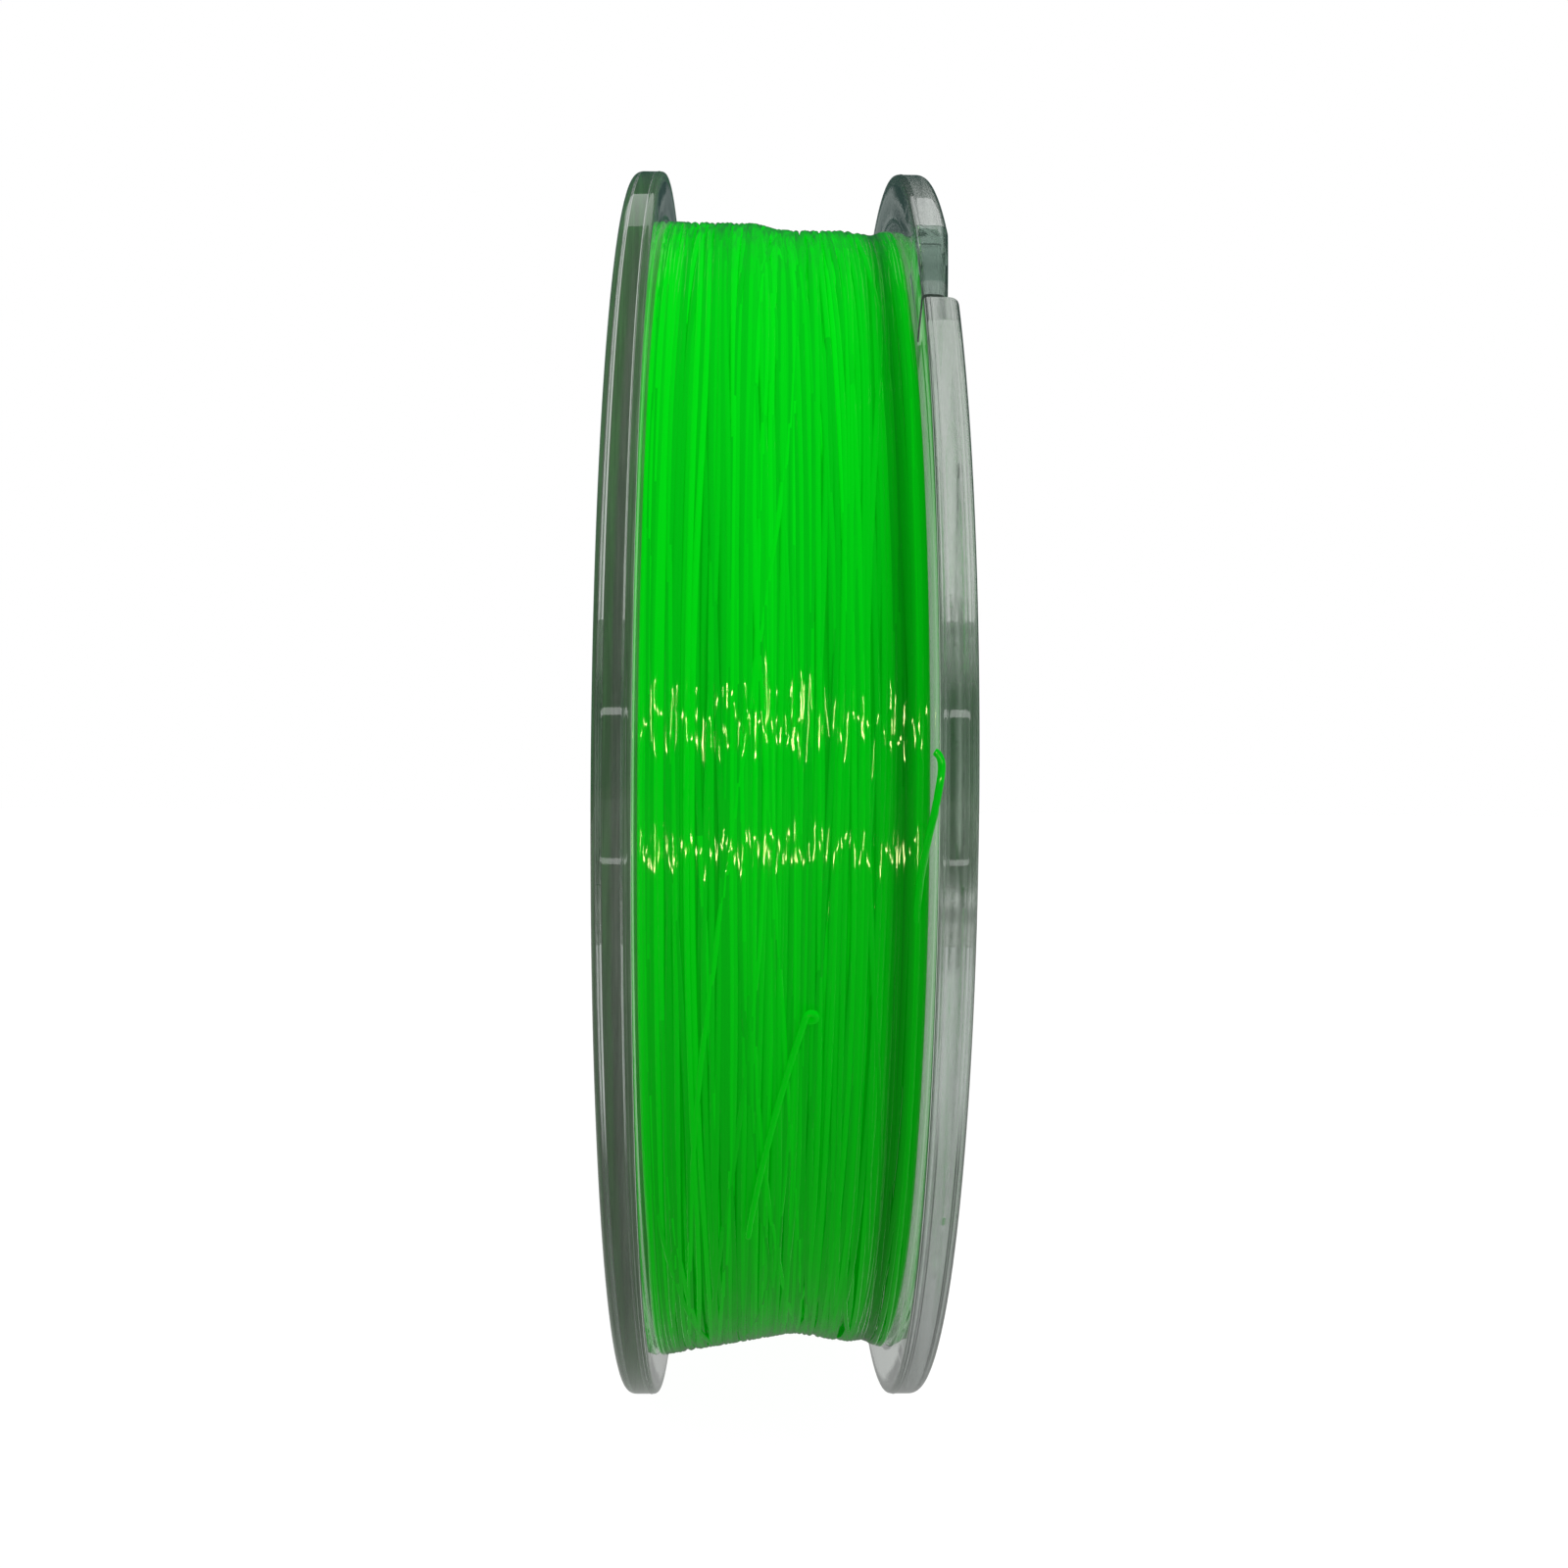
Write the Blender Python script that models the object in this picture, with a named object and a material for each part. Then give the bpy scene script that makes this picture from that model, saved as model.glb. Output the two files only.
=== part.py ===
"""A fishing line spool: two clear moulded flanges pressed into a hub barrel that is wound with line.

The origin is the centre of the spool. +X runs along the spool's axis towards the flange with the line
clip, -Y points at the side where the line's free ends lie, and +Z is up. The spool stands on its rims.
"""

import math

import bmesh
import bpy
from mathutils import Matrix, Vector

MM = 0.001

# Flanges
RIM_R = 50.0 * MM
FLANGE_IN_X = 8.8 * MM
FLANGE_OUT_X = 11.2 * MM
WEB_OUT_X = 10.95 * MM
RIM_BAND = 3.6 * MM
INNER_CHAMFER = (0.5 * MM, 0.35 * MM)
OUTER_CHAMFER = (0.6 * MM, 0.5 * MM)
STEP_DRAFT = 0.3 * MM

# Hub
BORE_R = 8.9 * MM
BORE_LEAD_IN = 0.4 * MM
TUBE_R = 10.2 * MM
BOSS_R = 11.6 * MM
SPIGOT_R = 26.2 * MM
SPIGOT_WALL = 1.3 * MM
SPIGOT_LENGTH = 3.0 * MM
BARREL_R = 28.0 * MM
BARREL_WALL = 1.5 * MM
RIB_COUNT = 6
RIB_WALL = 1.2 * MM
RIB_HEIGHT = 2.6 * MM

# Clearance between pieces that touch on the real spool
GAP = 0.3 * MM

# Line clip: a tongue of the right rim, rooted at its upper end and sprung inwards at its tip.
# Angles on the spool are measured from the -Y side, upwards.
CLIP_ROOT_DEG = 49.0
CLIP_TIP_DEG = 39.4
CLIP_WIDTH = 3.7 * MM
CLIP_OUTER_SET = 0.72 * MM
CLIP_INNER_SET = 0.38 * MM
CLIP_STEPS = 5

# Label
LABEL_IN_R = 12.4 * MM
LABEL_OUT_R = 45.6 * MM
LABEL_THICKNESS = 0.1 * MM
LABEL_GAP = 0.05 * MM

# Line
LINE_R = 0.225 * MM
WOUND_SIDE_X = FLANGE_IN_X - GAP
WOUND_MID_R = 45.6 * MM
WOUND_LEAN = -0.055
WOUND_DISH = 12.0
WOUND_STEPS = 8

TAG_ROOT_DEG = -18.6
TAG_TIP_DEG = -41.4
TAG_ROOT_X = 1.8 * MM
TAG_TIP_X = -2.0 * MM
TAG_TIP_LIFT = 0.4 * MM

START_ROOT_DEG = -12.5
START_TIP_DEG = 2.4
START_ROOT_X = 8.2 * MM
START_TIP_X = 8.5 * MM
START_TIP_LIFT = 2.4 * MM

SEGMENTS = 64
LINE_SIDES = 8
LINE_STEPS = 12
BOOLEAN_OVERLAP = 0.3 * MM


def clear_scene():
    for obj in list(bpy.data.objects):
        bpy.data.objects.remove(obj, do_unlink=True)


def make_material(name, colour, roughness, metallic=0.0, alpha=1.0):
    material = bpy.data.materials.new(name)
    material.use_nodes = True
    shader = material.node_tree.nodes["Principled BSDF"]
    shader.inputs["Base Color"].default_value = (*colour, 1.0)
    shader.inputs["Roughness"].default_value = roughness
    shader.inputs["Metallic"].default_value = metallic
    shader.inputs["Alpha"].default_value = alpha
    return material


def add_object(name, bm, material=None, smooth_angle=35.0):
    """Makes a scene object from a bmesh, with its faces pointing out and its round parts smooth."""
    bmesh.ops.recalc_face_normals(bm, faces=bm.faces)
    mesh = bpy.data.meshes.new(name)
    bm.to_mesh(mesh)
    bm.free()
    mesh.shade_smooth()
    mesh.set_sharp_from_angle(angle=math.radians(smooth_angle))
    obj = bpy.data.objects.new(name, mesh)
    bpy.context.scene.collection.objects.link(obj)
    if material:
        mesh.materials.append(material)
    return obj


def on_spool(x, radius, degrees):
    """The point at this place along the axis, radius and angle, with 0 degrees at the -Y side."""
    angle = math.radians(degrees)
    return Vector((x, -radius * math.cos(angle), radius * math.sin(angle)))


def turned(profile):
    """Turns a closed outline of (x, radius) points about the spool's axis, with a flat facet at the bottom."""
    bm = bmesh.new()
    half_step = 180.0 / SEGMENTS
    verts = [bm.verts.new(on_spool(x, radius, half_step)) for x, radius in profile]
    edges = [bm.edges.new((a, b)) for a, b in zip(verts, verts[1:] + verts[:1])]
    bmesh.ops.spin(
        bm,
        geom=verts + edges,
        axis=(1.0, 0.0, 0.0),
        cent=(0.0, 0.0, 0.0),
        angle=math.tau,
        steps=SEGMENTS,
        use_merge=True,
    )
    return bm


def boolean(obj, other, operation):
    """Adds a Boolean modifier and hides the other object, which is only a tool."""
    other.hide_render = True
    other.display_type = "WIRE"
    modifier = obj.modifiers.new(f"{operation.lower()} {other.name}", "BOOLEAN")
    modifier.operation = operation
    modifier.solver = "EXACT"
    modifier.object = other


def flange_profile(side):
    """The flange's section as (x, radius) points. side is 1 for the right flange and -1 for the left."""
    in_x, out_x = FLANGE_IN_X, FLANGE_OUT_X
    spigot_x = in_x - SPIGOT_LENGTH
    bore = [
        (GAP / 2, BORE_R),
        (out_x - BORE_LEAD_IN, BORE_R),
        (out_x, BORE_R + BORE_LEAD_IN),
        (out_x, BOSS_R - STEP_DRAFT),
        (WEB_OUT_X, BOSS_R),
    ]
    rim = [
        (WEB_OUT_X, RIM_R - RIM_BAND),
        (out_x, RIM_R - RIM_BAND + STEP_DRAFT),
        (out_x, RIM_R - OUTER_CHAMFER[1]),
        (out_x - OUTER_CHAMFER[0], RIM_R),
        (in_x + INNER_CHAMFER[0], RIM_R),
        (in_x, RIM_R - INNER_CHAMFER[1]),
    ]
    spigot = [
        (in_x, SPIGOT_R),
        (spigot_x + STEP_DRAFT, SPIGOT_R),
        (spigot_x, SPIGOT_R - STEP_DRAFT),
        (spigot_x, SPIGOT_R - SPIGOT_WALL),
        (in_x, SPIGOT_R - SPIGOT_WALL),
    ]
    centre_tube = [(in_x, TUBE_R), (GAP / 2, TUBE_R)]
    return [(side * x, radius) for x, radius in bore + rim + spigot + centre_tube]


def hub_ribs(side):
    """Radial ribs on the flange's inner face, from the centre tube to the spigot ring."""
    bm = bmesh.new()
    first_r = TUBE_R - BOOLEAN_OVERLAP
    last_r = SPIGOT_R - SPIGOT_WALL + BOOLEAN_OVERLAP
    low_x = FLANGE_IN_X - RIB_HEIGHT
    high_x = FLANGE_IN_X + BOOLEAN_OVERLAP
    size = (high_x - low_x, last_r - first_r, RIB_WALL)
    centre = Vector((side * (low_x + high_x) / 2, (first_r + last_r) / 2, 0.0))
    for index in range(RIB_COUNT):
        turn = Matrix.Rotation(math.tau * (index + 0.25) / RIB_COUNT, 4, "X")
        place = turn @ Matrix.Translation(centre) @ Matrix.Diagonal((*size, 1.0))
        bmesh.ops.create_cube(bm, size=1.0, matrix=place)
    return bm


def build_flange(name, side, material):
    flange = add_object(name, turned(flange_profile(side)), material)
    ribs = add_object(f"{name}_rib_tool", hub_ribs(side))
    boolean(flange, ribs, "UNION")
    return flange


def ring_sector(sections):
    """Bridges closed sections, each a list of points, into one solid with flat ends."""
    bm = bmesh.new()
    loops = [[bm.verts.new(point) for point in section] for section in sections]
    for first, second in zip(loops, loops[1:]):
        for index in range(len(first)):
            following = (index + 1) % len(first)
            bm.faces.new((first[index], first[following], second[following], second[index]))
    bm.faces.new(list(reversed(loops[0])))
    bm.faces.new(loops[-1])
    return bm


def cut_clip_window(flange):
    """Opens the right rim where the clip sits, with clearance at its tip and under it."""
    low_r = RIM_R - CLIP_WIDTH - GAP
    high_r = RIM_R + 1.0 * MM
    clearance = math.degrees(GAP / RIM_R)
    low_x, high_x = FLANGE_IN_X - 1.0 * MM, FLANGE_OUT_X + 1.0 * MM
    first, last = CLIP_TIP_DEG - clearance, CLIP_ROOT_DEG + clearance
    sections = []
    for step in range(CLIP_STEPS + 1):
        angle = first + (last - first) * step / CLIP_STEPS
        corners = ((low_x, low_r), (high_x, low_r), (high_x, high_r), (low_x, high_r))
        sections.append([on_spool(x, radius, angle) for x, radius in corners])
    boolean(flange, add_object("clip_window_tool", ring_sector(sections)), "DIFFERENCE")


def clip_section(angle):
    """The clip's section. It leaves the rim's own section at the root and leans inwards to the tip."""
    share = (CLIP_ROOT_DEG - angle) / (CLIP_ROOT_DEG - CLIP_TIP_DEG)
    in_x = FLANGE_IN_X - share * CLIP_INNER_SET
    out_x = FLANGE_OUT_X - share * CLIP_OUTER_SET
    points = (
        (in_x, RIM_R - CLIP_WIDTH),
        (out_x, RIM_R - CLIP_WIDTH),
        (out_x, RIM_R - OUTER_CHAMFER[1]),
        (out_x - OUTER_CHAMFER[0], RIM_R),
        (in_x + INNER_CHAMFER[0], RIM_R),
        (in_x, RIM_R - INNER_CHAMFER[1]),
    )
    return [on_spool(x, radius, angle) for x, radius in points]


def build_clip(material):
    span = CLIP_ROOT_DEG - CLIP_TIP_DEG
    sections = [clip_section(CLIP_TIP_DEG + span * i / CLIP_STEPS) for i in range(CLIP_STEPS + 1)]
    return add_object("line_clip", ring_sector(sections), material)


def build_barrel(material):
    low, high = -FLANGE_IN_X + GAP, FLANGE_IN_X - GAP
    inside = BARREL_R - BARREL_WALL
    profile = [(low, inside), (high, inside), (high, BARREL_R), (low, BARREL_R)]
    return add_object("hub_barrel", turned(profile), material)


def build_label(material):
    face = -WEB_OUT_X - LABEL_GAP
    profile = [
        (face, LABEL_IN_R),
        (face, LABEL_OUT_R),
        (face - LABEL_THICKNESS, LABEL_OUT_R),
        (face - LABEL_THICKNESS, LABEL_IN_R),
    ]
    return add_object("left_label", turned(profile), material)


def wound_radius(x):
    """The wound pack's radius: higher at the left flange, lowest right of the middle."""
    return WOUND_MID_R + WOUND_LEAN * x + WOUND_DISH * x * x


def build_wound_line(material):
    profile = [(WOUND_SIDE_X, BARREL_R + GAP), (-WOUND_SIDE_X, BARREL_R + GAP)]
    for step in range(WOUND_STEPS + 1):
        x = WOUND_SIDE_X * (2.0 * step / WOUND_STEPS - 1.0)
        profile.append((x, wound_radius(x)))
    return add_object("wound_line", turned(profile), material)


def line_run(points):
    """A round run of line through points, each with a cut end."""
    sections = []
    for index, point in enumerate(points):
        ahead = points[min(index + 1, len(points) - 1)]
        behind = points[max(index - 1, 0)]
        along = (ahead - behind).normalized()
        across = along.cross(Vector((0.0, point.y, point.z))).normalized()
        outward = across.cross(along)
        ring = []
        for side in range(LINE_SIDES):
            turn = math.tau * side / LINE_SIDES
            ring.append(point + LINE_R * (math.cos(turn) * across + math.sin(turn) * outward))
        sections.append(ring)
    return ring_sector(sections)


def free_end_points(root_deg, tip_deg, root_x, tip_x, tip_lift):
    """Points along a free end that lies on the wound pack and rises towards its tip."""
    points = []
    for step in range(LINE_STEPS + 1):
        share = step / LINE_STEPS
        x = root_x + (tip_x - root_x) * share
        radius = wound_radius(x) + GAP + LINE_R + tip_lift * share * share
        points.append(on_spool(x, radius, root_deg + (tip_deg - root_deg) * share))
    return points


def set_pivot(obj, pivot):
    """Moves the object's origin to its joint without moving its shape."""
    obj.data.transform(Matrix.Translation(-pivot))
    obj.location = pivot


def build_free_ends(material):
    tag = free_end_points(TAG_ROOT_DEG, TAG_TIP_DEG, TAG_ROOT_X, TAG_TIP_X, TAG_TIP_LIFT)
    start = free_end_points(
        START_ROOT_DEG, START_TIP_DEG, START_ROOT_X, START_TIP_X, START_TIP_LIFT
    )
    for name, points in (("line_tag_end", tag), ("line_start_end", start)):
        set_pivot(add_object(name, line_run(points), material), points[0])


def build_spool():
    clear_scene()
    clear_plastic = make_material("clear_plastic", (0.62, 0.70, 0.64), 0.08, alpha=0.35)
    label_paper = make_material("label_paper", (0.75, 0.78, 0.76), 0.5)
    green_line = make_material("green_line", (0.0, 0.5, 0.01), 0.2)
    build_flange("left_flange", -1, clear_plastic)
    cut_clip_window(build_flange("right_flange", 1, clear_plastic))
    clip = build_clip(clear_plastic)
    clip_mid_x = (FLANGE_IN_X + FLANGE_OUT_X) / 2
    set_pivot(clip, on_spool(clip_mid_x, RIM_R - CLIP_WIDTH / 2, CLIP_ROOT_DEG))
    build_barrel(clear_plastic)
    build_label(label_paper)
    build_wound_line(green_line)
    build_free_ends(green_line)


build_spool()
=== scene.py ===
"""The looks of a clear fishing line spool wound with fluorescent green line.

They are built around the spool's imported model. Lengths are in metres. x runs along the spool's axis, and
an angle on the spool is measured from the side that faces the camera (-Y), upwards.
"""

import math

import bmesh
import bpy
import numpy as np
from mathutils import Matrix, Vector


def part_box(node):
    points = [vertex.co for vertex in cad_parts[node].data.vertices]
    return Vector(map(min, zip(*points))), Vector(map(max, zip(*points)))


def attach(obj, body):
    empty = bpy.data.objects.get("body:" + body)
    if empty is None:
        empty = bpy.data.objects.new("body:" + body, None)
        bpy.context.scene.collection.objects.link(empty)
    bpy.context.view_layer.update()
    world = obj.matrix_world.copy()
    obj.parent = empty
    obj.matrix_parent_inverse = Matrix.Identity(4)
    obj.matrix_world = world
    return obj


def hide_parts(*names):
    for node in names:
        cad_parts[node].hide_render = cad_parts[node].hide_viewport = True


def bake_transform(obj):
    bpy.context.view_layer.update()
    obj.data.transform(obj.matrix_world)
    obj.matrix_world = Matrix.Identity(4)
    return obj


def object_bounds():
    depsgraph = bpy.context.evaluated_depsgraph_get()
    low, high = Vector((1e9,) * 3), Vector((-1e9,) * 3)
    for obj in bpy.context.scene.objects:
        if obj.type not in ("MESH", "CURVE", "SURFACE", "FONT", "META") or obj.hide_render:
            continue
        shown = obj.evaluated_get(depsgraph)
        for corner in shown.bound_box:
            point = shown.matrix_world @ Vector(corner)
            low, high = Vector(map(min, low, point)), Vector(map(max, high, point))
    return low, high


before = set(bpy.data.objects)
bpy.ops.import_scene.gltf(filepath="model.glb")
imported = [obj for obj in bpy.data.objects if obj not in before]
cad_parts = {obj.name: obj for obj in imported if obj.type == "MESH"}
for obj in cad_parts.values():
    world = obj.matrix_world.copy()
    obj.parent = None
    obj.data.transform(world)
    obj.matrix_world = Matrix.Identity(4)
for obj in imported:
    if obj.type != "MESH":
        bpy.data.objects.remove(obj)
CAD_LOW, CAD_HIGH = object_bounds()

MM = 0.001

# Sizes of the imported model. Its round parts are 64-sided with a flat side down, so that their corners lie
# on the true radius.
CAD_FLAT = math.cos(math.pi / 64)
CAD_GAP = 0.3 * MM
BARREL_LOW, BARREL_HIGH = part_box("hub_barrel")
LABEL_LOW, LABEL_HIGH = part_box("left_label")
RIM_R = CAD_HIGH.z / CAD_FLAT
RIM_OUT_X = CAD_HIGH.x
RIM_IN_X = BARREL_HIGH.x + CAD_GAP
BARREL_R = BARREL_HIGH.z / CAD_FLAT
LABEL_IN_R = 12.4 * MM
LABEL_OUT_R = LABEL_HIGH.z / CAD_FLAT
LABEL_GAP = 0.05 * MM
WEB_OUT_X = -LABEL_HIGH.x - LABEL_GAP

# Details of the mouldings, which follow the CAD's own section. The rim's two fillets are given as their
# reach before and after the corner, in the outline's order.
SIDES = 256
SMOOTH_DEG = 28.0
RIM_BAND = 3.6 * MM
OUTER_FILLET = (1.0 * MM, 0.8 * MM)
INNER_FILLET = (0.45 * MM, 0.4 * MM)
PARTING_X = 9.28 * MM
PARTING_HEIGHT = 0.04 * MM
PARTING_HALF = 0.08 * MM
STEP_DRAFT = 0.3 * MM
BORE_R = 8.9 * MM
BORE_LEAD_IN = 0.4 * MM
TUBE_R = 10.2 * MM
BOSS_R = 11.6 * MM
SPIGOT_R = 26.2 * MM
SPIGOT_WALL = 1.3 * MM
SPIGOT_LENGTH = 3.0 * MM
BARREL_WALL = 1.5 * MM
RIB_COUNT = 6
RIB_WALL = 1.2 * MM
RIB_HEIGHT = 2.6 * MM
EDGE_ROUND = 0.09 * MM

# Line clip
CLIP_ROOT_DEG = 49.0
CLIP_TIP_DEG = 38.6
CLIP_WIDTH = 3.7 * MM
CLIP_OUTER_SET = 0.72 * MM
CLIP_INNER_SET = 0.08 * MM
CLIP_STEPS = 12
# The clip's tip, over CLIP_PALE_DEG degrees, keeps the flange's clear plastic; the rest of the clip is
# darkened by painted shade.
CLIP_PALE_DEG = 1.9
CLIP_SLIT = 0.06 * MM

# Line. A turn is worked out at TURN_SAMPLES places and drawn at every DRAWN_STEP-th of them.
LINE_R = 0.225 * MM
WOUND_SIDE_X = RIM_IN_X - 0.08 * MM
TURN_SAMPLES = 360
DRAWN_STEP = 2
TURNS = 190
HIDDEN_TURNS = 72
STRAND_SIDES = 8
STRAND_PIECES = 2
END_SIDES = 12
SEAM_ANGLE = math.pi
SEED = 7

# The pack's shape: the left is one step higher at the top, the bottom is dished, and a groove runs near
# the right flange.
TOP_R = 46.0 * MM
TOP_STEP = 0.25 * MM
TOP_STEP_X = -1.0 * MM
TOP_STEP_WIDTH = 0.8 * MM
DISH_R = 45.45 * MM
DISH_SLOPE = 0.165
DISH_X = 1.6 * MM
DISH_ROUND = 0.3 * MM
GROOVE_DEPTH = 0.35 * MM
GROOVE_X = 7.1 * MM
GROOVE_WIDTH = 0.85 * MM
EDGE_SHADE_X = 8.1 * MM
EDGE_SHADE_WIDTH = 0.7 * MM
LAYER_RISE = 1.7 * MM
CORE_DEPTH = 0.35 * MM
CORE_STEPS = 24
CORE_SMOOTH_DEG = 80.0

# How the line winds, in millimetres of travel along the axis a turn
WIND_SPEED = 1.15
SKIP_SPEEDS = (16.0, 44.0)
SKIP_SAMPLES = (28, 64)
SKIPS_PER_TURN = 0.4
# (how far the guide wanders, over how many samples)
WANDERS = ((0.30 * MM, 46), (0.5 * MM, 210))
GUIDE_EASE = 7

# How a turn settles on the turns below it
CELL = 0.05 * MM
SLIP_CELLS = 15
SLIP_COST = 0.25
SLIP_LOOK = 18
SLIP_EASE = 12
SLIP_RAMP = 40.0
SQUEEZE = 0.2
TURN_PASSES = 120
TURN_EASE = 3
PATH_PASSES = 40

# Camera: almost level with the axis, looking at the rims from just under three radii away
CAMERA_PLACE = (-2.07 * MM, -2.88 * RIM_R, -0.35 * MM)
CAMERA_TURN_DEG = (90.12, -0.35, -1.2)
CAMERA_LENS = 37.85
CAMERA_SENSOR = 36.0


# ---------------------------------------------------------------- helpers

def on_spool(x, radius, degrees):
    """The point at this place along the axis, radius and angle, with 0 degrees at the -Y side."""
    angle = math.radians(degrees)
    return Vector((x, -radius * math.cos(angle), radius * math.sin(angle)))


def add_object(name, bm, material, smooth_angle=35.0):
    """Makes a scene object from a bmesh, with its faces pointing out and its round parts smooth."""
    bmesh.ops.recalc_face_normals(bm, faces=bm.faces)
    mesh = bpy.data.meshes.new(name)
    bm.to_mesh(mesh)
    bm.free()
    mesh.shade_smooth()
    mesh.set_sharp_from_angle(angle=math.radians(smooth_angle))
    obj = bpy.data.objects.new(name, mesh)
    bpy.context.scene.collection.objects.link(obj)
    if material:
        mesh.materials.append(material)
    return obj


def rounded(profile, radius, steps=3):
    """Rounds every corner of a closed outline.

    A corner given as (x, y, (before, after)) has its own fillet, in finer steps.
    """
    result = []
    count = len(profile)
    for index, item in enumerate(profile):
        corner = Vector(item[:2])
        before = Vector(profile[index - 1][:2]) - corner
        after = Vector(profile[(index + 1) % count][:2]) - corner
        reach_before, reach_after, pieces, most_of_side = radius, radius, steps, 0.4
        if len(item) > 2:
            reach_before, reach_after, pieces, most_of_side = *item[2], 3 * steps, 0.9
        start = corner + before.normalized() * min(reach_before, before.length * most_of_side)
        end = corner + after.normalized() * min(reach_after, after.length * most_of_side)
        for step in range(pieces + 1):
            share = step / pieces
            ease = 1.0 - share
            result.append(ease * ease * start + 2 * ease * share * corner + share * share * end)
    return [(point.x, point.y) for point in result]


def turned(profile):
    """Turns a closed outline of (x, radius) points about the spool's axis."""
    bm = bmesh.new()
    verts = [bm.verts.new(on_spool(x, radius, 0.0)) for x, radius in profile]
    edges = [bm.edges.new((a, b)) for a, b in zip(verts, verts[1:] + verts[:1])]
    bmesh.ops.spin(
        bm,
        geom=verts + edges,
        axis=(1.0, 0.0, 0.0),
        cent=(0.0, 0.0, 0.0),
        angle=math.tau,
        steps=SIDES,
        use_merge=True,
    )
    return bm


def ring_sector(sections):
    """Bridges closed sections, each a list of points, into one solid with flat ends."""
    bm = bmesh.new()
    loops = [[bm.verts.new(point) for point in section] for section in sections]
    for first, second in zip(loops, loops[1:]):
        for index in range(len(first)):
            following = (index + 1) % len(first)
            bm.faces.new((first[index], first[following], second[following], second[index]))
    bm.faces.new(list(reversed(loops[0])))
    bm.faces.new(loops[-1])
    return bm


def apply_boolean(obj, tool, operation):
    """Applies an exact Boolean to obj and removes the tool."""
    modifier = obj.modifiers.new("boolean", "BOOLEAN")
    modifier.operation = operation
    modifier.solver = "EXACT"
    modifier.object = tool
    graph = bpy.context.evaluated_depsgraph_get()
    mesh = bpy.data.meshes.new_from_object(obj.evaluated_get(graph), depsgraph=graph)
    obj.modifiers.clear()
    obj.data = mesh
    mesh.shade_smooth()
    mesh.set_sharp_from_angle(angle=math.radians(SMOOTH_DEG))
    bpy.data.objects.remove(tool, do_unlink=True)


# ---------------------------------------------------------------- materials

class Nodes:
    """Adds and links the shader nodes of one material or world."""

    def __init__(self, owner):
        self.owner = owner
        owner.use_nodes = True
        self.tree = owner.node_tree
        self.tree.nodes.clear()

    def feed(self, socket, value):
        if isinstance(value, bpy.types.NodeSocket):
            self.tree.links.new(value, socket)
        else:
            socket.default_value = value

    def add(self, kind, inputs=None, **settings):
        node = self.tree.nodes.new(kind)
        for key, value in settings.items():
            setattr(node, key, value)
        for key, value in (inputs or {}).items():
            self.feed(node.inputs[key], value)
        return node

    def math(self, operation, first, second=0.0, third=0.0):
        node = self.add("ShaderNodeMath", operation=operation)
        for socket, value in zip(node.inputs, (first, second, third)):
            self.feed(socket, value)
        return node.outputs[0]

    def vector(self, operation, first, second=(0.0, 0.0, 0.0), output="Vector"):
        node = self.add("ShaderNodeVectorMath", {0: first, 1: second}, operation=operation)
        return node.outputs[output]

    def part(self, vector, axis):
        return self.add("ShaderNodeSeparateXYZ", {"Vector": vector}).outputs[axis]

    def place(self):
        """The shaded point in the spool's own frame."""
        return self.add("ShaderNodeTexCoord").outputs["Object"]

    def radius(self, where):
        """How far a point is from the spool's axis."""
        return self.vector("LENGTH", self.vector("MULTIPLY", where, (0.0, 1.0, 1.0)), output="Value")

    def noise(self, where, scale, detail):
        inputs = {"Vector": where, "Scale": scale, "Detail": detail}
        return self.add("ShaderNodeTexNoise", inputs).outputs["Fac"]

    def bump(self, height, strength, distance):
        inputs = {"Height": height, "Strength": strength, "Distance": distance}
        return self.add("ShaderNodeBump", inputs).outputs["Normal"]

    def ramp(self, factor, stops, interpolation="LINEAR"):
        node = self.add("ShaderNodeValToRGB", {"Fac": factor})
        ramp = node.color_ramp
        ramp.interpolation = interpolation
        while len(ramp.elements) < len(stops):
            ramp.elements.new(0.5)
        for element, (position, colour) in zip(ramp.elements, stops):
            element.position = position
            element.color = (*colour, 1.0)
        return node.outputs["Color"]

    def mix(self, factor, first, second):
        """A mix of two shaders."""
        return self.add("ShaderNodeMixShader", {"Fac": factor, 1: first, 2: second}).outputs[0]

    def surface(self, **inputs):
        """A Principled shader, its inputs named with underscores for spaces."""
        named = {key.replace("_", " "): value for key, value in inputs.items()}
        return self.add("ShaderNodeBsdfPrincipled", named).outputs[0]

    def finished(self, shader):
        self.add("ShaderNodeOutputMaterial", {"Surface": shader})
        return self.owner


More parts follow.
